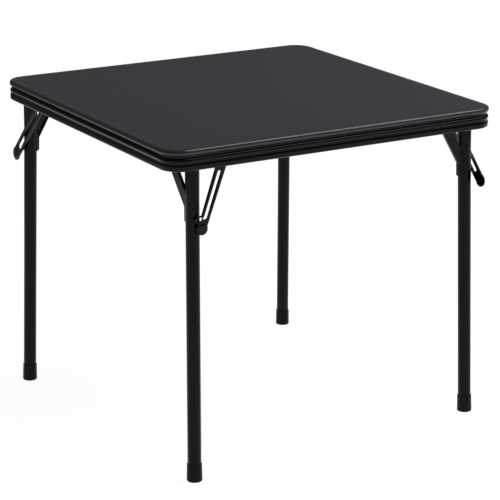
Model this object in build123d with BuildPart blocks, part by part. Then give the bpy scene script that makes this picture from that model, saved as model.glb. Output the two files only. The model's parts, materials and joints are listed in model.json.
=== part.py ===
"""Folding card table with a padded square top and four folding tube legs.

The origin is on the floor under the middle of the top and +Z points up.
Each leg hinges near its own corner and folds along the next side of the top,
so the four folded legs follow each other round the frame like a pinwheel.
All lengths are in millimetres and all angles in degrees.
"""

import os
from math import cos, radians, sin, sqrt, tan

from build123d import *

os.makedirs("parts", exist_ok=True)

# Overall size
top_side = 610.0
top_height = 546.0
edge_height = 35.4
corner_radius = 34.0

# Padded panel
panel_thickness = 10.5
board_thickness = 5.0
cover_thickness = 1.0
cover_lap = 24.0
cover_lap_corner = 8.0
upper_roll_radius = 4.6
lower_roll_radius = 3.6

# Rolled steel frame under the panel
sheet = 1.2
frame_inset = 0.5
neck_inset = 5.0
flange_inset = 22.0
neck_height = 4.2
shoulder_radius = 3.5
wall_hollow = 1.2
lower_curl_radius = 2.9
curl_hem = 2.4

# Leg tubes
leg_diameter = 22.2
leg_wall = 1.1
leg_inset_along = 53.4
leg_inset_across = 27.0
leg_splay_along = 0.8
leg_splay_across = 1.6
hinge_rise = 10.8
taper_length = 58.0
flat_half_thickness = 8.0
flat_half_width = 12.8
flat_relief = 0.3

# Foot caps
cap_height = 29.0
cap_wall_top = 1.0
cap_wall_bottom = 1.6
cap_floor = 5.0
cap_edge_radius = 2.4
cap_trim = 0.6

# Hinge brackets, rods and rivets
plate = 2.0
rod_diameter = 6.0
running_clearance = 0.06
side_clearance = 0.4
ear_half_width = 8.0
ear_drop = 6.5
ear_tip = 6.5
ear_corner = 3.0
base_back = 10.0
base_front = 14.0
head_height = 1.5
head_diameter = 9.0
head_taper = 20.0
peened_diameter = 5.8
lap_clearance = 0.3

# Side braces
brace_sheet = 1.8
brace_width = 16.5
brace_knee = 76.5
brace_end = 99.0
brace_saddle_top = 61.0
brace_saddle_angle = 40.0
brace_flange = 5.5
knuckle_length = 14.0
brace_neck = 9.0

# Slotted lock links
link_sheet = 2.4
link_pin_drop = 92.0
link_pin_diameter = 5.0
notch_clearance = 0.3
link_gap = 0.3
link_head_height = 1.0

# Screws
screw_diameter = 3.6
screw_length = 5.2
screw_head_diameter = 7.0
screw_head_height = 1.4
panel_screw_inset = 15.6
panel_screw_shares = (-0.22, 0.0, 0.22)
bracket_screw_shares = (0.45, 0.75)

# The legs in order round the table. Opposite legs are alike: the first value of
# each pair belongs to the front and back legs, the second to the right and left.
leg_names = ("front", "right", "back", "left")
quarter_turn = 90
brace_tilts = (40.6, 28.0)
brace_reaches = (17.8, 16.5)
link_tilts = (20.3, 44.0)
link_pivots = (45.0, 80.0)
link_widths = (18.0, 23.0)
link_waists = (14.5, 21.0)
slot_widths = (5.8, 8.6)
slot_starts = (22.0, 11.5)
slot_ends = (94.5, 128.0)
lobe_radii = (5.0, 4.3)
pad_places = (113.5, 149.0)
pad_radii = (9.8, 11.5)

# Derived heights and radii
frame_bottom = top_height - edge_height
panel_bottom = top_height - panel_thickness
board_bottom = panel_bottom + cover_thickness
board_top = board_bottom + board_thickness
hinge_height = frame_bottom + hinge_rise
leg_radius = leg_diameter / 2
rod_radius = rod_diameter / 2
bore_radius = rod_radius + running_clearance
pin_radius = link_pin_diameter / 2
notch_width = link_pin_diameter + 2 * notch_clearance
half_side = top_side / 2
overrun = leg_diameter
axis_tilt_cosine = cos(radians(leg_splay_along)) * cos(radians(leg_splay_across))
leg_reach = hinge_height / axis_tilt_cosine

# Places across the hinge, measured along the hinge rod from the leg's middle
ear_inner = flat_half_width + side_clearance
ear_outer = ear_inner + plate
link_inner = ear_outer + link_gap
link_outer = link_inner + link_sheet
saddle_radius = leg_radius + brace_sheet

# Heights of the bracket's base, measured from the hinge
flange_under = panel_bottom - sheet - hinge_height
board_under = board_bottom - hinge_height

# The bracket's riser clears the cover's lap, and the flange also where it turns the corner
flange_turn = corner_radius - flange_inset - lap_clearance
turn_overlap = max(corner_radius - leg_inset_along + base_back, 0)
side_riser = cover_lap + lap_clearance - leg_inset_across
corner_riser = corner_radius - leg_inset_across - sqrt(flange_turn ** 2 - turn_overlap ** 2)
riser_start = max(side_riser, corner_riser)


# Planes at the front leg's hinge, with x along the fold and y inwards: level,
# then leaned outwards with the hinge rod, then leaned back with the open leg.
corner_plane = Plane(Location((leg_inset_along - half_side, leg_inset_across - half_side, hinge_height)))
leg_plane = Plane(corner_plane.location * Rotation(-leg_splay_across, 0, 0))
tube_plane = Plane(leg_plane.location * Rotation(0, leg_splay_along, 0))


def save(piece, name, turns=0):
    """Turn a finished piece round the table's middle, label it and write it."""
    placed = piece.rotate(Axis.Z, quarter_turn * turns)
    placed.label = name
    export_step(placed, f"parts/{name}.step")


def fold_plane(frame, offset=0):
    """Sketch plane across the hinge rod: x along the fold, y up, facing outwards."""
    return Plane(origin=frame.origin, x_dir=frame.x_dir, z_dir=-frame.y_dir).offset(offset)


def rod_plane(frame, offset=0):
    """Sketch plane along the hinge rod: x inwards, y up, facing the fold."""
    return Plane(origin=frame.origin, x_dir=frame.y_dir, z_dir=frame.x_dir).offset(offset)


def brace_top(kind):
    """Place of the brace's knuckle along the hinge rod."""
    slope = radians(brace_tilts[kind])
    return brace_reaches[kind] + brace_knee * tan(slope) - brace_width / 2 / cos(slope)


def plan_place(turns, x, y):
    """Place in the table's plan after quarter turns about its middle."""
    spot = Rotation(0, 0, quarter_turn * turns) * Pos(x, y, 0)
    return (spot.position.X, spot.position.Y)


def panel_screw_places():
    """Places of the screws that hold the panel, in the table's plan."""
    places = []
    for turns in range(len(leg_names)):
        for share in panel_screw_shares:
            places.append(plan_place(turns, share * top_side, panel_screw_inset - half_side))
    return places


def bracket_screw_places(turns):
    """Places of one bracket's screws, in the table's plan."""
    places = []
    for share in bracket_screw_shares:
        reach = share * brace_top(turns % len(brace_tilts))
        places.append(plan_place(turns, corner_plane.origin.X, corner_plane.origin.Y + reach))
    return places


def all_bracket_screw_places():
    """Places of all the bracket screws."""
    places = []
    for turns in range(len(leg_names)):
        places.extend(bracket_screw_places(turns))
    return places


def make_panel_body(inset, bottom, top, upper, lower):
    """Rounded square slab with rolled edges."""
    with BuildPart() as slab:
        with BuildSketch(Plane.XY.offset(bottom)):
            RectangleRounded(top_side - 2 * inset, top_side - 2 * inset, corner_radius - inset)
        extrude(amount=top - bottom)
        fillet(slab.faces().sort_by(Axis.Z)[-1].edges(), upper)
        fillet(slab.faces().sort_by(Axis.Z)[0].edges(), lower)
    return slab.part


def make_top_cover():
    """Vinyl drawn over the foam and board and lapped under the board."""
    outer = make_panel_body(0, panel_bottom, top_height, upper_roll_radius, lower_roll_radius)
    inner = make_panel_body(
        cover_thickness,
        board_bottom,
        top_height - cover_thickness,
        upper_roll_radius - cover_thickness,
        lower_roll_radius - cover_thickness,
    )
    with BuildPart() as cover:
        add(outer)
        add(inner, mode=Mode.SUBTRACT)
        with BuildSketch(Plane.XY.offset(panel_bottom)):
            opening = top_side - 2 * cover_lap
            RectangleRounded(opening, opening, cover_lap_corner)
        extrude(amount=cover_thickness, mode=Mode.SUBTRACT)
        with BuildSketch(Plane.XY.offset(panel_bottom)):
            with Locations(*panel_screw_places()):
                Circle(screw_diameter / 2)
        extrude(amount=cover_thickness, mode=Mode.SUBTRACT)
    return cover.part


def make_foam_pad():
    """Thin foam between the cover and the board."""
    inner = make_panel_body(
        cover_thickness,
        board_bottom,
        top_height - cover_thickness,
        upper_roll_radius - cover_thickness,
        lower_roll_radius - cover_thickness,
    )
    with BuildPart() as foam:
        add(inner)
        split(bisect_by=Plane.XY.offset(board_top), keep=Keep.TOP)
    return foam.part


def make_top_board():
    """Fibreboard panel with pilot holes for the screws."""
    inner = make_panel_body(
        cover_thickness,
        board_bottom,
        top_height - cover_thickness,
        upper_roll_radius - cover_thickness,
        lower_roll_radius - cover_thickness,
    )
    with BuildPart() as board:
        add(inner)
        split(bisect_by=Plane.XY.offset(board_top), keep=Keep.BOTTOM)
        with BuildSketch(Plane.XY.offset(panel_bottom - sheet)):
            with Locations(*panel_screw_places()):
                Circle(screw_diameter / 2)
        extrude(amount=screw_length, mode=Mode.SUBTRACT)
        with BuildSketch(Plane.XY.offset(board_bottom - plate)):
            with Locations(*all_bracket_screw_places()):
                Circle(screw_diameter / 2)
        extrude(amount=screw_length, mode=Mode.SUBTRACT)
    return board.part


def make_frame_section():
    """Section of the rolled frame: x inwards from the edge, y up from its underside."""
    half = sheet / 2
    curl_middle = frame_inset + half + lower_curl_radius
    wall = frame_inset + half
    flange_level = edge_height - panel_thickness - half
    shoulder_level = flange_level - neck_height
    wall_top = shoulder_level - shoulder_radius
    wall_foot = half + lower_curl_radius
    waist = wall_foot + (wall_top - wall_foot) / 3
    with BuildSketch() as section:
        with BuildLine():
            Line((flange_inset, flange_level), (neck_inset + sheet, flange_level))
            JernArc((neck_inset + sheet, flange_level), (-1, 0), half, 90)
            Line((neck_inset + half, flange_level - half), (neck_inset + half, shoulder_level))
        trace(line_width=sheet)
        with BuildLine():
            Line((neck_inset + sheet, shoulder_level), (wall + shoulder_radius, shoulder_level))
            JernArc((wall + shoulder_radius, shoulder_level), (-1, 0), shoulder_radius, 90)
        trace(line_width=sheet)
        with BuildLine():
            ThreePointArc(
                (wall, wall_top),
                (wall + wall_hollow, (wall_top + waist) / 2),
                (wall, waist),
            )
            Line((wall, waist), (wall, wall_foot))
            JernArc((wall, wall_foot), (0, -1), lower_curl_radius, 180)
            Line((curl_middle + lower_curl_radius, wall_foot), (curl_middle + lower_curl_radius, wall_foot + curl_hem))
        trace(line_width=sheet)
    return section.sketch


def make_top_frame():
    """Rolled steel rail bent round the four sides, with a flange under the panel."""
    section = make_frame_section()
    straight = top_side - 2 * corner_radius
    with BuildPart() as rail:
        for turns in range(len(leg_names)):
            turn = Rotation(0, 0, quarter_turn * turns)
            start = turn * Pos(corner_radius - half_side, -half_side, frame_bottom)
            along = turn * Pos(1, 0, 0)
            inwards = turn * Pos(0, 1, 0)
            side = Plane(origin=start.position, x_dir=inwards.position, z_dir=along.position)
            with BuildSketch(side):
                add(section)
            extrude(amount=straight)
            with BuildSketch(side):
                add(section)
            centre = turn * Pos(corner_radius - half_side, corner_radius - half_side, 0)
            revolve(axis=Axis(centre.position, (0, 0, 1)), revolution_arc=-quarter_turn)
        with BuildSketch(Plane.XY.offset(panel_bottom - sheet)):
            with Locations(*panel_screw_places()):
                Circle(screw_diameter / 2)
        extrude(amount=sheet, mode=Mode.SUBTRACT)
    return rail.part


def make_screws(places, seat):
    """Pan head screws whose heads sit under a plate at the given height."""
    with BuildPart() as screws:
        with BuildSketch(Plane.XY.offset(seat - screw_head_height)):
            with Locations(*places):
                Circle(screw_head_diameter / 2)
        extrude(amount=screw_head_height)
        with BuildSketch(Plane.XY.offset(seat)):
            with Locations(*places):
                Circle(screw_diameter / 2)
        extrude(amount=screw_length)
    return screws.part


def make_tube_body(frame, radius, half_thickness, half_width, reach):
    """Round bar that flattens towards the hinge and ends in a half round."""
    with BuildPart() as bar:
        with BuildSketch(frame.offset(-taper_length)):
            Circle(radius)
        extrude(amount=taper_length - reach)
        with BuildSketch(frame.offset(-taper_length)):
            Circle(radius)
        with BuildSketch(frame):
            Ellipse(radius, half_width)
        loft()
        with BuildSketch(frame):
            Ellipse(radius, half_width)
        extrude(amount=half_thickness + overrun)
        with BuildSketch(fold_plane(frame, half_width + overrun)):
            Polygon(
                (-radius - overrun, -reach - overrun),
                (radius + overrun, -reach - overrun),
                (radius + overrun, -taper_length),
                (radius + flat_relief, -taper_length),
                (half_thickness, 0),
                (-half_thickness, 0),
                (-radius - flat_relief, -taper_length),
                (-radius - overrun, -taper_length),
                align=None,
            )
            Circle(half_thickness)
        extrude(amount=-2 * (half_width + overrun), mode=Mode.INTERSECT)
    return bar.part


def make_leg_tube():
    """Steel leg tube with a flattened top, bored for the hinge rod and the lock rivet."""
    frame = tube_plane
    reach = leg_reach - cap_floor
    outer = make_tube_body(frame, leg_radius, flat_half_thickness, flat_half_width, reach)
    inner = make_tube_body(
        frame,
        leg_radius - leg_wall,
        flat_half_thickness - leg_wall,
        flat_half_width - leg_wall,
        reach,
    )
    with BuildPart() as tube:
        add(outer)
        add(inner, mode=Mode.SUBTRACT)
        with BuildSketch(fold_plane(frame)):
            Circle(bore_radius)
        extrude(amount=leg_diameter, both=True, mode=Mode.SUBTRACT)
        with BuildSketch(fold_plane(frame)):
            with Locations((0, -link_pin_drop)):
                Circle(pin_radius)
        extrude(amount=leg_diameter, both=True, mode=Mode.SUBTRACT)
    return tube.part


def make_foot_cap():
    """Moulded cap over the end of the tube, worn flat where it stands."""
    frame = tube_plane
    top = -leg_reach + cap_height
    seat = -leg_reach + cap_floor
    bottom = -leg_reach - cap_trim
    rim = leg_radius + cap_wall_top
    foot = leg_radius + cap_wall_bottom
    with BuildPart() as cap:
        with BuildSketch(fold_plane(frame)):
            with BuildLine():
                FilletPolyline(
                    (leg_radius, top),
                    (rim, top),
                    (foot, bottom),
                    (0, bottom),
                    radius=[cap_wall_top / 2, cap_edge_radius],
                )
                Polyline((0, bottom), (0, seat), (leg_radius, seat), (leg_radius, top))
            make_face()
        revolve(axis=Axis(frame.origin, frame.z_dir))
        split(bisect_by=Plane.XY, keep=Keep.TOP)
    return cap.part


def make_side_brace(kind):
    """Pressed brace from the lock rivet up to a knuckle on the hinge rod."""
    frame = tube_plane
    slope = tan(radians(brace_tilts[kind]))
    across = brace_width / cos(radians(brace_tilts[kind]))
    knuckle = brace_top(kind)
    knuckle_radius = bore_radius + brace_sheet
    reach = brace_reaches[kind]
    upper_start = reach - across
    root = leg_radius
    web = -knuckle_radius
    lower_edge = [
        (reach, -brace_end),
        (reach, -brace_knee),
        (reach + slope * (brace_knee - brace_neck), -brace_neck),
    ]
    upper_edge = [
        (saddle_radius, -brace_knee + (saddle_radius - upper_start) / slope),
        (upper_start + slope * (brace_knee - brace_neck), -brace_neck),
    ]
    with BuildPart() as brace:
        with BuildSketch(rod_plane(frame, web)):
            Polygon(
                (root, -brace_end),
                *lower_edge,
                (knuckle + knuckle_length / 2, 0),
                (knuckle - knuckle_length / 2, 0),
                upper_edge[1],
                (root, -brace_knee + (root - upper_start) / slope),
                align=None,
            )
        extrude(amount=brace_sheet)
        for edge, inwards in ((lower_edge, -brace_sheet / 2), (upper_edge, brace_sheet / 2)):
            with BuildSketch(rod_plane(frame, web)):
                with BuildLine():
                    Polyline(*[(y + inwards, z) for y, z in edge])
                trace(line_width=brace_sheet)
            extrude(amount=brace_flange)
        with BuildSketch(fold_plane(frame, -knuckle - knuckle_length / 2)):
            Circle(knuckle_radius)
        extrude(amount=knuckle_length)
        with BuildSketch(frame.offset(-brace_end)):
            with BuildLine():
                half = brace_saddle_angle
                outer = CenterArc((0, 0), saddle_radius, 90 - half, 2 * half)
                inner = CenterArc((0, 0), leg_radius, 90 - half, 2 * half)
                Line(outer @ 0, inner @ 0)
                Line(outer @ 1, inner @ 1)
            make_face()
        extrude(amount=brace_end - brace_saddle_top)
        with BuildSketch(frame.offset(-brace_end)):
            Circle(leg_radius)
        extrude(amount=brace_end - taper_length, mode=Mode.SUBTRACT)
        with BuildSketch(fold_plane(frame)):
            Circle(bore_radius)
        extrude(amount=-knuckle - knuckle_length, mode=Mode.SUBTRACT)
        with BuildSketch(fold_plane(frame)):
            with Locations((0, -link_pin_drop)):
                Circle(pin_radius)
        extrude(amount=-saddle_radius, mode=Mode.SUBTRACT)
    return brace.part


def make_lock_rivet():
    """Rivet through the leg: it holds the brace inside and guides the link outside."""
    frame = tube_plane
    with BuildPart() as rivet:
        with BuildSketch(fold_plane(frame, -saddle_radius)):
            with Locations((0, -link_pin_drop)):
                Circle(pin_radius)
        extrude(amount=saddle_radius + ear_outer)
        with BuildSketch(fold_plane(frame, leg_radius)):
            with Locations((0, -link_pin_drop)):
                Circle(head_diameter / 2)
        extrude(amount=ear_outer - leg_radius - link_gap)
        with BuildSketch(fold_plane(frame, -saddle_radius)):
            with Locations((0, -link_pin_drop)):
                Circle(peened_diameter / 2)
        extrude(amount=-head_height)
    return rivet.part


def make_lock_link(kind):
    """Tapered link with a long slot, a side notch for the rivet and a round finger pad."""
    lean = radians(link_tilts[kind])
    pivot = (link_pivots[kind], 0)
    pin = (-link_pin_drop * tan(radians(leg_splay_along)), -link_pin_drop)

    def down_link(distance, aside=0):
        return (
            pivot[0] - distance * sin(lean) + aside * cos(lean),
            pivot[1] - distance * cos(lean) - aside * sin(lean),
        )

    start = down_link(slot_starts[kind])
    end = down_link(slot_ends[kind])
    shoulder = link_widths[kind] / 2
    waist = link_waists[kind] / 2
    bands = [
        (end, pin, 2 * lobe_radii[kind], Mode.ADD),
        (start, end, slot_widths[kind], Mode.SUBTRACT),
        (end, pin, notch_width, Mode.SUBTRACT),
    ]
    with BuildPart() as link:
        with BuildSketch(fold_plane(leg_plane, link_inner)):
            with Locations(pivot):
                Circle(shoulder)
            with Locations(down_link(pad_places[kind])):
                Circle(pad_radii[kind])
            Polygon(
                down_link(0, -shoulder),
                down_link(0, shoulder),
                down_link(pad_places[kind], waist),
                down_link(pad_places[kind], -waist),
                align=None,
            )
            for first, last, width, mode in bands:
                with BuildLine(mode=Mode.PRIVATE) as middle:
                    Line(first, last)
                SlotArc(middle.line.edge(), width, mode=mode)
            with Locations(pivot):
                Circle(bore_radius, mode=Mode.SUBTRACT)
        extrude(amount=link_sheet)
    return link.part


def make_link_rivet(kind):
    """Shouldered rivet that carries the link on the bracket's outer ear."""
    pivot = (link_pivots[kind], 0)
    with BuildPart() as rivet:
        with BuildSketch(fold_plane(leg_plane, ear_inner)):
            with Locations(pivot):
                Circle(rod_radius)
        extrude(amount=link_outer + link_gap - ear_inner)
        with BuildSketch(fold_plane(leg_plane, link_outer + link_gap)):
            with Locations(pivot):
                Circle(head_diameter / 2)
        extrude(amount=link_head_height, taper=head_taper)
        with BuildSketch(fold_plane(leg_plane, ear_inner)):
            with Locations(pivot):
                Circle(head_diameter / 2)
        extrude(amount=-link_head_height)
    return rivet.part


def make_hinge_rod(kind):
    """Headed rod through the ears, the leg and the brace's knuckle."""
    inner_end = brace_top(kind) + knuckle_length / 2 + side_clearance + plate
    with BuildPart() as rod:
        with BuildSketch(fold_plane(leg_plane, -inner_end)):
            Circle(rod_radius)
        extrude(amount=inner_end + ear_outer)
        with BuildSketch(fold_plane(leg_plane, ear_outer)):
            Circle(head_diameter / 2)
        extrude(amount=head_height, taper=head_taper)
        with BuildSketch(fold_plane(leg_plane, -inner_end)):
            Circle(head_diameter / 2)
        extrude(amount=-head_height, taper=head_taper)
    return rod.part


def make_hinge_bracket(kind):
    """Pressed bracket: a stepped base under the flange and board, with three ears."""
    lean = tan(radians(leg_splay_across))
    far_ear = brace_top(kind) + knuckle_length / 2 + side_clearance
    base_end = far_ear + plate
    with BuildPart() as bracket:
        with BuildSketch(corner_plane.offset(flange_under - plate)):
            Polygon(
                (-base_back, -ear_outer),
                (base_front, -ear_outer),
                (base_front, riser_start + plate),
                (-base_back, riser_start + plate),
                align=None,
            )
        extrude(amount=plate)
        with BuildSketch(corner_plane.offset(flange_under - plate)):
            Polygon(
                (-base_back, riser_start),
                (base_front, riser_start),
                (base_front, riser_start + plate),
                (-base_back, riser_start + plate),
                align=None,
            )
        extrude(amount=board_under - flange_under + plate)
        with BuildSketch(corner_plane.offset(board_under - plate)):
            Polygon(
                (-base_back, riser_start),
                (base_front, riser_start),
                (base_front, base_end),
                (-base_back, base_end),
                align=None,
            )
        extrude(amount=plate)
        ears = [
            (ear_outer, link_pivots[kind] + ear_tip, flange_under - plate / 2),
            (-ear_inner, ear_half_width, board_under - plate / 2),
            (-far_ear, ear_half_width, board_under - plate / 2),
        ]
        for place, front, top in ears:
            level = top - place * lean
            with BuildSketch(fold_plane(leg_plane, place)) as ear:
                Polygon(
                    (-ear_half_width, -ear_drop),
                    (front, -ear_drop),
                    (front, level),
                    (-ear_half_width, level),
                    align=None,
                )
                fillet(ear.vertices().group_by(Axis((0, 0, 0), leg_plane.z_dir))[0], ear_corner)
                Circle(rod_radius, mode=Mode.SUBTRACT)
            extrude(amount=-plate)
        with BuildSketch(fold_plane(leg_plane, ear_outer)):
            with Locations((link_pivots[kind], 0)):
                Circle(rod_radius)
        extrude(amount=-plate, mode=Mode.SUBTRACT)
        with BuildSketch(corner_plane.offset(board_under - plate)):
            with Locations(*[(0, share * brace_top(kind)) for share in bracket_screw_shares]):
                Circle(screw_diameter / 2)
        extrude(amount=plate, mode=Mode.SUBTRACT)
    return bracket.part


save(make_top_cover(), "top_cover")
save(make_foam_pad(), "foam_pad")
save(make_top_board(), "top_board")
save(make_top_frame(), "top_frame")
save(make_screws(panel_screw_places(), panel_bottom - sheet), "panel_screws")
save(make_screws(all_bracket_screw_places(), board_bottom - plate), "bracket_screws")

for kind in range(len(brace_tilts)):
    pieces = {
        "hinge_bracket": make_hinge_bracket(kind),
        "hinge_rod": make_hinge_rod(kind),
        "link_rivet": make_link_rivet(kind),
        "leg_tube": make_leg_tube(),
        "foot_cap": make_foot_cap(),
        "side_brace": make_side_brace(kind),
        "lock_rivet": make_lock_rivet(),
        "lock_link": make_lock_link(kind),
    }
    for turns in range(kind, len(leg_names), len(brace_tilts)):
        for piece_name, piece in pieces.items():
            save(piece, f"{leg_names[turns]}_{piece_name}", turns)
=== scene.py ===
"""Folding card table: the looks of each piece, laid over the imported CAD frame.

The file follows the table as it is put together: the padded top, the board and
the rim, then the screws and hinges, the legs and their feet, and last the
braces and links that lock a leg open. Lengths are metres in the frame's axes.
"""

import json
from math import cos, pi, radians, sin

import bmesh
import bpy
import numpy as np
from mathutils import Matrix, Vector


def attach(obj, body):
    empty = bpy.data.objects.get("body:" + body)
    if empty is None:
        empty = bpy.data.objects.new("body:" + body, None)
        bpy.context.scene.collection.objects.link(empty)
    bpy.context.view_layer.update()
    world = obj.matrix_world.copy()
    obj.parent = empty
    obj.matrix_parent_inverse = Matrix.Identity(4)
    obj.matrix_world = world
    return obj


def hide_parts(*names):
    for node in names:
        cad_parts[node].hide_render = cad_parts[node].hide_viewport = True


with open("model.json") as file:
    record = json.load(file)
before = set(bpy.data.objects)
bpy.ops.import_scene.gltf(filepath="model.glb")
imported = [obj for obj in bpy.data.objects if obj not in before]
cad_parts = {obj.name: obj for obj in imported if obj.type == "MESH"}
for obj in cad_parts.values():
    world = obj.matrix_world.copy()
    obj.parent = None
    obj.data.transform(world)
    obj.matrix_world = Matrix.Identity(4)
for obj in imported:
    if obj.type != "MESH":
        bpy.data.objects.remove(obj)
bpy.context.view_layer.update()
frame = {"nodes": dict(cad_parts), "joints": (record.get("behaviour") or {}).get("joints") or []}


# The camera stands where the photograph was taken, worked out from the rim's
# edges and the legs. It is a long lens, a little above the table's height.
camera_place = (-1.7319, -2.9759, 1.3191)
camera_yaw = radians(30.402)
camera_pitch = radians(17.016)
camera_roll = radians(0.095)
camera_lens = 150.02
camera_sensor = 36.0
camera_reach = 60.0

camera_data = bpy.data.cameras.new("camera")
camera_data.lens = camera_lens
camera_data.sensor_width = camera_sensor
camera_data.sensor_fit = "HORIZONTAL"
camera_data.clip_end = camera_reach
camera = bpy.data.objects.new("camera", camera_data)
bpy.context.scene.collection.objects.link(camera)
camera.matrix_world = (
    Matrix.Translation(camera_place)
    @ Matrix.Rotation(-camera_yaw, 4, "Z")
    @ Matrix.Rotation(pi / 2 - camera_pitch, 4, "X")
    @ Matrix.Rotation(camera_roll, 4, "Z")
)
bpy.context.scene.camera = camera
bpy.context.scene.view_settings.view_transform = "Standard"


# The studio is a white floor without walls in a dim, even surround. One big soft
# lamp hangs over the right side and draws the bright line on the rolled edge. The
# floor is painted darker at its far end, behind the table, for reflections only:
# this is a painted dark reflection that shows in the glossy paint and vinyl.
floor_half = 14.0
floor_drop = 0.0004
floor_albedo = 0.40
floor_lift = 0.93
far_start = 1.05
far_dark = 1.65
far_share = 0.12
surround_seen = 1.0
surround_light = 0.15
white = (1.0, 1.0, 1.0, 1.0)


def joined(tree, start, end):
    """Link one socket to another in a node tree."""
    tree.links.new(start, end)


def made_along(tree, axis, start, end):
    """A value that goes from zero at one place along an object's axis to one at another."""
    place = tree.nodes.new("ShaderNodeTexCoord")
    parts = tree.nodes.new("ShaderNodeSeparateXYZ")
    joined(tree, place.outputs["Object"], parts.inputs["Vector"])
    node = tree.nodes.new("ShaderNodeMapRange")
    node.interpolation_type = "SMOOTHSTEP"
    node.inputs["From Min"].default_value = start
    node.inputs["From Max"].default_value = end
    joined(tree, parts.outputs[axis], node.inputs["Value"])
    return node.outputs["Result"]


def seen_ray_factor(tree, kinds):
    """A value of one for rays of any of the kinds, such as Camera or Glossy, else zero."""
    path = tree.nodes.new("ShaderNodeLightPath")
    factor = path.outputs[f"Is {kinds[0]} Ray"]
    for kind in kinds[1:]:
        either = tree.nodes.new("ShaderNodeMath")
        either.operation = "MAXIMUM"
        joined(tree, factor, either.inputs[0])
        joined(tree, path.outputs[f"Is {kind} Ray"], either.inputs[1])
        factor = either.outputs[0]
    return factor


world = bpy.data.worlds.new("surround")
bpy.context.scene.world = world
world.use_nodes = True
tree = world.node_tree
tree.nodes.clear()
strength = tree.nodes.new("ShaderNodeMapRange")
strength.inputs["To Min"].default_value = surround_light
strength.inputs["To Max"].default_value = surround_seen
joined(tree, seen_ray_factor(tree, ("Camera", "Transmission")), strength.inputs["Value"])
background = tree.nodes.new("ShaderNodeBackground")
background.inputs["Color"].default_value = white
joined(tree, strength.outputs["Result"], background.inputs["Strength"])
output = tree.nodes.new("ShaderNodeOutputWorld")
joined(tree, background.outputs["Background"], output.inputs["Surface"])

floor_mesh = bpy.data.meshes.new("floor")
floor_mesh.from_pydata(
    [
        (-floor_half, -floor_half, -floor_drop),
        (floor_half, -floor_half, -floor_drop),
        (floor_half, floor_half, -floor_drop),
        (-floor_half, floor_half, -floor_drop),
    ],
    [],
    [(0, 1, 2, 3)],
)
floor = bpy.data.objects.new("floor", floor_mesh)
bpy.context.scene.collection.objects.link(floor)

floor_paint = bpy.data.materials.new("floor_paper")
floor_paint.use_nodes = True
tree = floor_paint.node_tree
tree.nodes.clear()
paper = tree.nodes.new("ShaderNodeBsdfDiffuse")
paper.inputs["Color"].default_value = (floor_albedo, floor_albedo, floor_albedo, 1.0)
glow = tree.nodes.new("ShaderNodeEmission")
glow_strength = tree.nodes.new("ShaderNodeMath")
glow_strength.operation = "MULTIPLY"
glow_strength.inputs[1].default_value = floor_lift
# Painted reflection: glossy rays see the floor's glow fade to a small share beyond far_start, so
# the paint mirrors a dark far floor.
painted_reflection_fade = tree.nodes.new("ShaderNodeMapRange")
painted_reflection_fade.inputs["To Min"].default_value = 1.0
painted_reflection_fade.inputs["To Max"].default_value = far_share
joined(tree, made_along(tree, "Y", far_start, far_dark), painted_reflection_fade.inputs["Value"])
mirrored = tree.nodes.new("ShaderNodeMath")
mirrored.operation = "MULTIPLY"
joined(tree, seen_ray_factor(tree, ("Glossy", "Transmission")), mirrored.inputs[0])
joined(tree, painted_reflection_fade.outputs["Result"], mirrored.inputs[1])
white_seen = tree.nodes.new("ShaderNodeMath")
white_seen.operation = "MAXIMUM"
joined(tree, seen_ray_factor(tree, ("Camera",)), white_seen.inputs[0])
joined(tree, mirrored.outputs[0], white_seen.inputs[1])
joined(tree, white_seen.outputs[0], glow_strength.inputs[0])
joined(tree, glow_strength.outputs[0], glow.inputs["Strength"])
both = tree.nodes.new("ShaderNodeAddShader")
joined(tree, paper.outputs["BSDF"], both.inputs[0])
joined(tree, glow.outputs["Emission"], both.inputs[1])
output = tree.nodes.new("ShaderNodeOutputMaterial")
joined(tree, both.outputs["Shader"], output.inputs["Surface"])
floor_mesh.materials.append(floor_paint)


def hang_lamp(name, place, aim, width, depth, power):
    """A flat soft lamp at a place, turned towards the point it is aimed at."""
    data = bpy.data.lights.new(name, "AREA")
    data.shape = "RECTANGLE"
    data.size = width
    data.size_y = depth
    data.energy = power
    lamp = bpy.data.objects.new(name, data)
    lamp.visible_camera = False
    bpy.context.scene.collection.objects.link(lamp)
    facing = (Vector(aim) - Vector(place)).to_track_quat("-Z", "Y")
    lamp.matrix_world = Matrix.Translation(place) @ facing.to_matrix().to_4x4()


lamp_place = (1.05, -0.55, 2.10)
lamp_aim = (0.0, 0.0, 0.5)
lamp_width = 1.6
lamp_depth = 1.4
lamp_power = 22.5
hang_lamp("soft_lamp", lamp_place, lamp_aim, lamp_width, lamp_depth, lamp_power)


# The padded top is thin foam on a fibreboard panel, with dark vinyl drawn over
# it, rolled tight round the edge and lapped under the board. The foam lets it
# sink a little towards the edge, before the roll.
top_side = 0.610
top_height = 0.546
corner_radius = 0.034
panel_thickness = 0.0105
vinyl_thickness = 0.001
board_thickness = 0.005
fit_gap = 0.00003
slope_width = 0.017
slope_drop = 0.0010
upper_roll = 0.0046
lower_roll = 0.0030
lap_reach = 0.0210
hem_turn = 0.0004
lap_shares = (0.33, 0.66, 1.0)
hem_shares = (1.0, 0.6, 0.2)
middle_reach = 0.030
least_ring = 0.03
inner_rings = (1.0, 0.7, 0.35, least_ring)
crown = 0.0004
slope_rows = 12
roll_rows = 12
middle_rows = 18
pucker_height = 0.00010
pucker_spread = 0.006
pucker_count = 34
pleat_depth = 0.00035
pleats_per_corner = 9
top_crease_degrees = 75.0
vinyl_dark = (0.0328, 0.0303, 0.0440)
vinyl_light = (0.0365, 0.0340, 0.0482)
vinyl_cells = 1100.0
vinyl_drift = 7.0
cell_softness = 0.6
warp_detail = 2.0
warp_share = 0.6
drift_detail = 3.0
face_roughness = (0.34, 0.40)
edge_roughness = 0.15
grain_strength = 0.18
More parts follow.
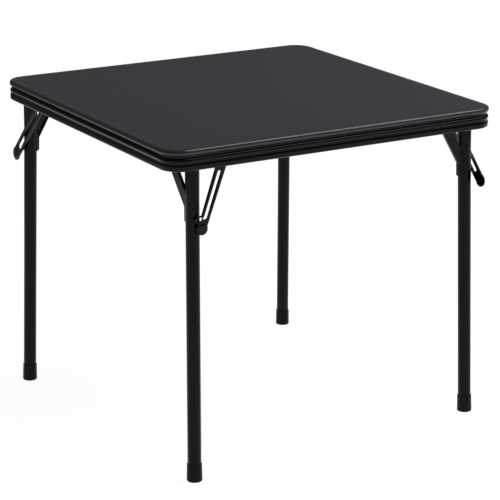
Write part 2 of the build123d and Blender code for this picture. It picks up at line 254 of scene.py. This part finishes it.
grain_depth = 0.00006

half_side = top_side / 2
panel_low = top_height - panel_thickness
board_low = panel_low + vinyl_thickness
board_high = board_low + board_thickness
middle_half = half_side - corner_radius


def rounded_square_path(side_steps, corner_steps):
    """Points round a rounded square, as two arrays: unit corner centres and outward directions.

    Along a side the centre slides from one corner to the next and the direction
    stays; round a corner the centre stays and the direction turns a quarter turn.
    """
    centres = []
    directions = []
    signs = np.array([(1, -1), (1, 1), (-1, 1), (-1, -1)], float)
    for k in range(4):
        start_angle = (k - 1) * pi / 2
        turn = start_angle + np.linspace(0, pi / 2, corner_steps, endpoint=False)
        centres.append(np.repeat(signs[k][None], corner_steps, axis=0))
        directions.append(np.stack([np.cos(turn), np.sin(turn)], axis=1))
        slide = np.linspace(0, 1, side_steps, endpoint=False)[:, None]
        centres.append(signs[k] * (1 - slide) + signs[(k + 1) % 4] * slide)
        facing = start_angle + pi / 2
        directions.append(np.repeat([[cos(facing), sin(facing)]], side_steps, axis=0))
    return np.concatenate(centres), np.concatenate(directions)


def skin_mesh(name, grid):
    """Closed mesh of a grid of points that wraps along its first axis.

    Faces lie between neighbours. The first and last rows along the second axis
    are closed by fans to their middles.
    """
    around, rows = grid.shape[:2]
    here = np.arange(around)
    after = (here + 1) % around
    row = np.arange(rows - 1)[None, :]
    low_here = here[:, None] * rows + row
    low_after = after[:, None] * rows + row
    quads = np.stack([low_here, low_after, low_after + 1, low_here + 1], axis=-1)
    polygons = quads.reshape(-1, 4).tolist()
    points = grid.reshape(-1, 3)
    first_middle = len(points)
    middles = [grid[:, 0].mean(axis=0)[None], grid[:, -1].mean(axis=0)[None]]
    points = np.concatenate([points] + middles)
    last = rows - 1
    first_fan = [np.full(around, first_middle), after * rows, here * rows]
    last_fan = [np.full(around, first_middle + 1), here * rows + last, after * rows + last]
    polygons += np.stack(first_fan, axis=1).tolist()
    polygons += np.stack(last_fan, axis=1).tolist()
    mesh = bpy.data.meshes.new(name)
    mesh.from_pydata(points.tolist(), [], polygons)
    mesh.validate()
    mesh.update()
    return mesh


def placed(name, mesh, material, crease_degrees):
    """An object at the origin with a mesh, a material, and smooth faces up to an angle."""
    mesh.shade_smooth()
    mesh.set_sharp_from_angle(angle=radians(crease_degrees))
    mesh.materials.append(material)
    piece = bpy.data.objects.new(name, mesh)
    bpy.context.scene.collection.objects.link(piece)
    return piece


def top_profile():
    """Rows of the top's skin as inset, height and ring scale, and how many lie on its face.

    From the middle the skin is level, sinks as a square towards the edge, turns
    down a quarter round, and turns in under the board round a smaller one. It
    ends in a hem and comes back inside along the faces that hold the board.
    """
    rows = []
    for share in np.linspace(least_ring, 1.0, middle_rows):
        rows.append((middle_reach, top_height - crown * share ** 2, share))
    for share in np.linspace(0, 1, slope_rows):
        inset = slope_width + (upper_roll - slope_width) * share
        rows.append((inset, top_height - crown - slope_drop * share ** 2, 1.0))
    edge_top = top_height - crown - slope_drop
    lean = np.arctan(2 * slope_drop / (slope_width - upper_roll))
    for angle in np.linspace(lean, pi / 2, roll_rows)[1:]:
        drop = upper_roll * (1 - cos(angle))
        rows.append((upper_roll * (1 - sin(angle)), edge_top - drop, 1.0))
    face_rows = len(rows)
    for angle in np.linspace(0, pi / 2, roll_rows):
        rise = lower_roll * (1 - sin(angle))
        rows.append((lower_roll * (1 - cos(angle)), panel_low + rise, 1.0))
    for share in lap_shares:
        inset = lower_roll + (lap_reach - hem_turn - lower_roll) * share
        rows.append((inset, panel_low, 1.0))
    rows.append((lap_reach, panel_low + hem_turn, 1.0))
    inner_low = board_low - fit_gap
    for share in hem_shares:
        rows.append((lower_roll + (lap_reach - lower_roll) * share, inner_low, 1.0))
    inner_corner = lower_roll - vinyl_thickness
    inner_side = vinyl_thickness - fit_gap
    for angle in np.linspace(pi / 2, 0, roll_rows // 2)[1:]:
        inset = inner_side + inner_corner * (1 - cos(angle))
        rows.append((inset, inner_low + inner_corner * (1 - sin(angle)), 1.0))
    inner_high = board_high + fit_gap
    rows.append((inner_side, inner_high, 1.0))
    rows.append((middle_reach / 2, inner_high, 1.0))
    for share in inner_rings:
        rows.append((middle_reach, inner_high, share))
    return np.array(rows), face_rows


def padded_top_skin(side_steps=64, corner_steps=30):
    """The top's skin: each row of the profile carried round the rounded square.

    A point is the corner centre plus the direction times what is left of the
    corner radius, all times the row's scale. Puckers are a cosine of the place
    round the edge that fades inwards; pleats are narrow cosines under a corner.
    """
    centres, directions = rounded_square_path(side_steps, corner_steps)
    rows, face_rows = top_profile()
    inset, height, scale = rows.T
    reach = (corner_radius - inset)[None, :, None]
    flat = centres[:, None, :] * middle_half + directions[:, None, :] * reach
    flat = flat * scale[None, :, None]
    level = np.repeat(height[None], len(centres), axis=0)
    angle = np.arctan2(directions[:, 1], directions[:, 0])
    at_corner = np.abs(np.sin(2 * angle))[:, None]
    around = np.linspace(0, 2 * pi, len(centres), endpoint=False)[:, None]
    on_face = np.arange(len(height)) < face_rows
    from_slope = (inset - slope_width / 2) / pucker_spread
    fade = np.exp(-(from_slope ** 2)) * on_face * (scale == 1.0)
    wave = 0.5 + 0.5 * np.cos(pucker_count * around)
    level = level - pucker_height * wave * fade[None] * (1 - at_corner)
    under = (~on_face) & (height < board_low - 2 * fit_gap) & (inset < lap_reach / 2)
    pleat = 0.5 - 0.5 * np.cos(4 * pleats_per_corner * angle)[:, None]
    level = level + pleat_depth * pleat * at_corner * under[None]
    return np.concatenate([flat, level[:, :, None]], axis=2)


def new_effect(name, inputs, outputs):
    """An empty shader group with named float inputs and typed outputs, and its end nodes."""
    group = bpy.data.node_groups.new(name, "ShaderNodeTree")
    sockets = group.interface
    for label, value in inputs.items():
        socket = sockets.new_socket(name=label, in_out="INPUT", socket_type="NodeSocketFloat")
        socket.default_value = value
    for label, kind in outputs.items():
        sockets.new_socket(name=label, in_out="OUTPUT", socket_type=kind)
    start = group.nodes.new("NodeGroupInput")
    end = group.nodes.new("NodeGroupOutput")
    return group, start, end


def make_leather_grain():
    """Embossed leather grain: small Voronoi cells with soft valleys, and a slow drift."""
    group, start, end = new_effect(
        "leather_grain",
        {"Cells": vinyl_cells, "Drift": vinyl_drift},
        {"Height": "NodeSocketFloat", "Drift": "NodeSocketFloat"},
    )
    place = group.nodes.new("ShaderNodeTexCoord")
    warp = group.nodes.new("ShaderNodeTexNoise")
    warp.inputs["Detail"].default_value = warp_detail
    joined(group, place.outputs["Object"], warp.inputs["Vector"])
    joined(group, start.outputs["Cells"], warp.inputs["Scale"])
    cells = group.nodes.new("ShaderNodeTexVoronoi")
    cells.feature = "SMOOTH_F1"
    cells.inputs["Smoothness"].default_value = cell_softness
    joined(group, place.outputs["Object"], cells.inputs["Vector"])
    joined(group, start.outputs["Cells"], cells.inputs["Scale"])
    blend = group.nodes.new("ShaderNodeMath")
    blend.operation = "MULTIPLY_ADD"
    blend.inputs[1].default_value = warp_share
    joined(group, warp.outputs["Fac"], blend.inputs[0])
    joined(group, cells.outputs["Distance"], blend.inputs[2])
    joined(group, blend.outputs[0], end.inputs["Height"])
    drift = group.nodes.new("ShaderNodeTexNoise")
    drift.inputs["Detail"].default_value = drift_detail
    joined(group, place.outputs["Object"], drift.inputs["Vector"])
    joined(group, start.outputs["Drift"], drift.inputs["Scale"])
    joined(group, drift.outputs["Fac"], end.inputs["Drift"])
    return group


def mapped(tree, source, low, high):
    """A Map Range node that carries a zero to one value to low and high."""
    node = tree.nodes.new("ShaderNodeMapRange")
    node.inputs["To Min"].default_value = low
    node.inputs["To Max"].default_value = high
    joined(tree, source, node.inputs["Value"])
    return node.outputs["Result"]


mix_colour_a = 6
mix_colour_b = 7
mix_colour_out = 2


def tinted(tree, source, first, second):
    """A colour that goes from the first to the second as the value goes from zero to one."""
    node = tree.nodes.new("ShaderNodeMix")
    node.data_type = "RGBA"
    node.inputs[mix_colour_a].default_value = (*first, 1.0)
    node.inputs[mix_colour_b].default_value = (*second, 1.0)
    joined(tree, source, node.inputs["Factor"])
    return node.outputs[mix_colour_out]


def bumped(tree, height, strength, distance):
    """A Bump node's normal from a height."""
    node = tree.nodes.new("ShaderNodeBump")
    node.inputs["Strength"].default_value = strength
    node.inputs["Distance"].default_value = distance
    joined(tree, height, node.inputs["Height"])
    return node.outputs["Normal"]


def new_finish(name):
    """A material with a Principled shader, returned with its tree and shader."""
    material = bpy.data.materials.new(name)
    material.use_nodes = True
    tree = material.node_tree
    return material, tree, tree.nodes["Principled BSDF"]


leather_grain = make_leather_grain()


def make_vinyl():
    """Dark grey vinyl: satin on the face, smoother where it is pulled round the edge."""
    material, tree, shader = new_finish("dark_vinyl")
    grain = tree.nodes.new("ShaderNodeGroup")
    grain.node_tree = leather_grain
    grain.inputs["Cells"].default_value = vinyl_cells
    grain.inputs["Drift"].default_value = vinyl_drift
    tone = tinted(tree, grain.outputs["Drift"], vinyl_dark, vinyl_light)
    joined(tree, tone, shader.inputs["Base Color"])
    polish = tree.nodes.new("ShaderNodeMix")
    on_face = made_along(tree, "Z", top_height - slope_drop, top_height - crown)
    joined(tree, on_face, polish.inputs["Factor"])
    polish.inputs["A"].default_value = edge_roughness
    joined(tree, mapped(tree, grain.outputs["Drift"], *face_roughness), polish.inputs["B"])
    joined(tree, polish.outputs["Result"], shader.inputs["Roughness"])
    normal = bumped(tree, grain.outputs["Height"], grain_strength, grain_depth)
    joined(tree, normal, shader.inputs["Normal"])
    return material


top_mesh = skin_mesh("padded_top", padded_top_skin())
padded_top = placed("padded_top", top_mesh, make_vinyl(), top_crease_degrees)
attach(padded_top, "root")
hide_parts("top_cover", "foam_pad")


# The board is brown tempered fibreboard. It shows only from below, where its
# back has the fine print of the wire screen that it was pressed on.
fibre_dark = (0.075, 0.040, 0.021)
fibre_light = (0.16, 0.095, 0.052)
fibre_scale = 260.0
fibre_detail = 5.0
board_roughness = (0.62, 0.82)
screen_scale = 190.0
screen_strength = 0.5
screen_depth = 0.0002


def make_board_finish():
    """Fibreboard: brown fibres in two browns, with a woven screen print in the bump."""
    material, tree, shader = new_finish("fibreboard")
    place = tree.nodes.new("ShaderNodeTexCoord")
    fibres = tree.nodes.new("ShaderNodeTexNoise")
    fibres.inputs["Scale"].default_value = fibre_scale
    fibres.inputs["Detail"].default_value = fibre_detail
    joined(tree, place.outputs["Object"], fibres.inputs["Vector"])
    tone = tinted(tree, fibres.outputs["Fac"], fibre_dark, fibre_light)
    joined(tree, tone, shader.inputs["Base Color"])
    roughness = mapped(tree, fibres.outputs["Fac"], *board_roughness)
    joined(tree, roughness, shader.inputs["Roughness"])
    screens = []
    for direction in ("X", "Y"):
        wires = tree.nodes.new("ShaderNodeTexWave")
        wires.bands_direction = direction
        wires.inputs["Scale"].default_value = screen_scale
        joined(tree, place.outputs["Object"], wires.inputs["Vector"])
        screens.append(wires.outputs["Fac"])
    weave = tree.nodes.new("ShaderNodeMath")
    weave.operation = "MULTIPLY"
    joined(tree, screens[0], weave.inputs[0])
    joined(tree, screens[1], weave.inputs[1])
    normal = bumped(tree, weave.outputs[0], screen_strength, screen_depth)
    joined(tree, normal, shader.inputs["Normal"])
    return material


def dress(node_name, material):
    """Give a CAD node its material."""
    node = frame["nodes"][node_name]
    node.data.materials.clear()
    node.data.materials.append(material)


dress("top_board", make_board_finish())


# The rim is rolled from steel sheet and powder coated in gloss black. The coat
# has the faint ripple of baked powder.
ripple_scale = 420.0
ripple_detail = 1.5
drift_scale = 14.0
ripple_strength = 0.10
ripple_depth = 0.00005


def make_paint_ripple():
    """Baked powder coat: a fine ripple in height, and a slow drift in polish."""
    group, start, end = new_effect(
        "paint_ripple",
        {"Ripple": ripple_scale, "Drift": drift_scale},
        {"Height": "NodeSocketFloat", "Drift": "NodeSocketFloat"},
    )
    place = group.nodes.new("ShaderNodeTexCoord")
    parts = (("Ripple", "Height", ripple_detail), ("Drift", "Drift", drift_detail))
    for source, target, detail in parts:
        noise = group.nodes.new("ShaderNodeTexNoise")
        noise.inputs["Detail"].default_value = detail
        joined(group, place.outputs["Object"], noise.inputs["Vector"])
        joined(group, start.outputs[source], noise.inputs["Scale"])
        joined(group, noise.outputs["Fac"], end.inputs[target])
    return group


paint_ripple = make_paint_ripple()


def make_black_coat(name, dark, light, roughness, specular):
    """Black powder coat between two tones, with its roughness between two values."""
    material, tree, shader = new_finish(name)
    ripple = tree.nodes.new("ShaderNodeGroup")
    ripple.node_tree = paint_ripple
    tone = tinted(tree, ripple.outputs["Drift"], dark, light)
    joined(tree, tone, shader.inputs["Base Color"])
    joined(tree, mapped(tree, ripple.outputs["Drift"], *roughness), shader.inputs["Roughness"])
    normal = bumped(tree, ripple.outputs["Height"], ripple_strength, ripple_depth)
    joined(tree, normal, shader.inputs["Normal"])
    shader.inputs["Specular IOR Level"].default_value = specular
    return material


rim_dark = (0.0010, 0.0010, 0.0012)
rim_light = (0.0020, 0.0020, 0.0024)
rim_coat = make_black_coat("rim_coat", rim_dark, rim_light, roughness=(0.09, 0.14), specular=0.17)
dress("top_frame", rim_coat)


# Black oxide pan head screws hold the panel and the brackets. The hinge rods
# and the link rivets are dull zinc plate.
oxide_dark = (0.05, 0.05, 0.052)
oxide_light = (0.09, 0.09, 0.09)
zinc_dark = (0.36, 0.36, 0.35)
zinc_light = (0.55, 0.55, 0.53)
plating_drift = 180.0


def make_plating(name, dark, light, roughness):
    """Plated steel between two greys, its polish drifting slowly."""
    material, tree, shader = new_finish(name)
    ripple = tree.nodes.new("ShaderNodeGroup")
    ripple.node_tree = paint_ripple
    ripple.inputs["Drift"].default_value = plating_drift
    joined(tree, tinted(tree, ripple.outputs["Drift"], dark, light), shader.inputs["Base Color"])
    joined(tree, mapped(tree, ripple.outputs["Drift"], *roughness), shader.inputs["Roughness"])
    shader.inputs["Metallic"].default_value = 1.0
    return material


screw_finish = make_plating("black_oxide", oxide_dark, oxide_light, roughness=(0.30, 0.42))
dress("panel_screws", screw_finish)
dress("bracket_screws", screw_finish)
leg_names = ("front", "right", "back", "left")
zinc = make_plating("zinc_plate", zinc_dark, zinc_light, roughness=(0.22, 0.34))
for name in leg_names:
    dress(f"{name}_hinge_rod", zinc)
    dress(f"{name}_link_rivet", zinc)


# The brackets, braces and lock rivets are pressed steel under the same black
# coat, a little rougher than the rim.
steel_dark = (0.0012, 0.0012, 0.0014)
steel_light = (0.0024, 0.0024, 0.0028)
hinge_coat = make_black_coat(
    "hinge_coat", steel_dark, steel_light, roughness=(0.16, 0.24), specular=0.18
)
for name in leg_names:
    dress(f"{name}_hinge_bracket", hinge_coat)
    dress(f"{name}_side_brace", hinge_coat)
    dress(f"{name}_lock_rivet", hinge_coat)


# The legs are coated steel tube, pressed flat at the hinge. Their feet are black
# moulded caps, satin, their polish drifting a little from place to place.
leg_light = (0.0026, 0.0026, 0.0032)
cap_dark = (0.0040, 0.0040, 0.0045)
cap_light = (0.0070, 0.0070, 0.0078)
leg_coat = make_black_coat(
    "leg_coat", steel_dark, leg_light, roughness=(0.12, 0.18), specular=0.13
)
cap_plastic = make_black_coat(
    "cap_plastic", cap_dark, cap_light, roughness=(0.34, 0.44), specular=0.13
)
for name in leg_names:
    dress(f"{name}_leg_tube", leg_coat)
    dress(f"{name}_foot_cap", cap_plastic)


# Each lock link is a stamped plate with a long slot. A rounded rib stands along
# both sides of the slot. The one on the notch's side runs on as a bridge over the
# notch, to the finger pad, which is slightly domed.
link_inner = 0.0155
link_sheet = 0.0024
link_tilts = (radians(20.3), radians(44.0))
link_widths = (0.0180, 0.0230)
link_waists = (0.0145, 0.0210)
slot_widths = (0.0058, 0.0086)
slot_starts = (0.0220, 0.0115)
slot_ends = (0.0945, 0.1280)
notch_sides = (-1, 1)
pad_places = (0.1135, 0.1490)
pad_radii = (0.0098, 0.0115)
rib_height = 0.0009
rib_share = 0.74
rib_sink = 0.0003
rib_end_power = 0.22
rib_end_trim = 0.004
rib_sides = (("fore", 1), ("aft", -1))
bridge_start = 0.020
bridge_gap = 0.0010
dome_height = 0.0008
dome_share = 0.86
dome_power = 4
dome_middle = 0.05
dome_under_rings = 4
link_crease_degrees = 60.0

link_outer = link_inner + link_sheet


def link_axes(name):
    """A link's own axes: its pivot, the way the leg folds, up the leg, and outwards."""
    swing = next(j for j in frame["joints"] if j["name"] == f"{name}_link_swing")
    outwards = np.array(swing["axis"], float)
    outwards = outwards / np.linalg.norm(outwards)
    fold = np.cross(outwards, (0.0, 0.0, 1.0)) * -1.0
    fold = fold / np.linalg.norm(fold)
    return np.array(swing["pos_m"], float), fold, np.cross(outwards, fold), outwards


def on_link(name, along, aside, out):
    """Points of a link from three arrays: down its length, across it, and outwards.

    The link leans back by its tilt, so down its length is minus the sine along
    the fold and minus the cosine up, and across it is the cosine and minus the sine.
    """
    pivot, fold, up, outwards = link_axes(name)
    tilt = link_tilts[leg_names.index(name) % 2]
    down = -sin(tilt) * fold - cos(tilt) * up
    across = cos(tilt) * fold - sin(tilt) * up
    parts = ((along, down), (aside, across), (out, outwards))
    return pivot + sum(np.asarray(value)[..., None] * axis for value, axis in parts)


def rib_skin(name, side, profile_steps=16, path_steps=40):
    """A rib beside the slot: a half ellipse carried down the bar, sinking to nothing at its ends.

    Its middle runs halfway between the slot and the tapered outer edge, and its
    width is a share of the bar's, which grows to all of it where the rib bridges
    the notch. The ellipse's lower half lies in the plate.
    """
    kind = leg_names.index(name) % 2
    path = np.linspace(0, 1, path_steps)[None, :]
    around = np.linspace(0, 2 * pi, profile_steps, endpoint=False)[:, None]
    bridges = side == notch_sides[kind]
    pad_edge = pad_places[kind] - dome_share * pad_radii[kind] - bridge_gap
    rib_end = pad_edge if bridges else slot_ends[kind]
    along = slot_starts[kind] + (rib_end - slot_starts[kind]) * path
    past_start = (along - slot_ends[kind] + bridge_start) / (bridge_start / 2)
    widening = np.clip(past_start, 0, 1) if bridges else 0.0
    share = rib_share + (1 - rib_share) * widening
    taper = (link_waists[kind] - link_widths[kind]) * along / pad_places[kind]
    outer = (link_widths[kind] + taper) / 2
    inner = slot_widths[kind] / 2
    swell = np.sin(pi * np.clip(path, rib_end_trim, 1 - rib_end_trim)) ** rib_end_power
    half_width = share * (outer - inner) / 2 * swell
    aside = side * ((outer + inner) / 2 + half_width * np.cos(around))
    rise = np.where(np.sin(around) > 0, rib_height, rib_sink) * np.sin(around) * swell
    along = np.repeat(along, profile_steps, axis=0)
    return on_link(name, along, aside, link_outer + rise)


def dome_skin(name, turn_steps=40, ring_steps=12):
    """The finger pad's dome: rings whose height falls with the fourth power of their radius."""
    kind = leg_names.index(name) % 2
    turn = np.linspace(0, 2 * pi, turn_steps, endpoint=False)[:, None]
    top_rings = np.linspace(dome_middle, 1.0, ring_steps)
    under_rings = np.linspace(1 - dome_middle, dome_middle, dome_under_rings)
    share = np.concatenate([top_rings, under_rings])[None, :]
    radius = share * dome_share * pad_radii[kind]
    on_top = np.arange(share.shape[1])[None, :] < ring_steps
    rise = np.where(on_top, dome_height * (1 - share ** dome_power), -rib_sink)
    along = pad_places[kind] + radius * np.cos(turn)
    aside = radius * np.sin(turn)
    return on_link(name, along, aside, link_outer + np.repeat(rise, turn_steps, axis=0))


def facing_out(mesh):
    """Turn a closed mesh's faces outwards."""
    shell = bmesh.new()
    shell.from_mesh(mesh)
    bmesh.ops.recalc_face_normals(shell, faces=shell.faces)
    shell.to_mesh(mesh)
    shell.free()
    return mesh


link_coat = make_black_coat(
    "link_coat", steel_dark, steel_light, roughness=(0.14, 0.22), specular=0.20
)
for name in leg_names:
    dress(f"{name}_lock_link", link_coat)
    pressings = [(f"{name}_link_rib_{label}", rib_skin(name, side)) for label, side in rib_sides]
    pressings.append((f"{name}_finger_dome", dome_skin(name)))
    for piece_name, skin in pressings:
        mesh = facing_out(skin_mesh(piece_name, skin))
        piece = placed(piece_name, mesh, link_coat, link_crease_degrees)
        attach(piece, f"{name}_link")
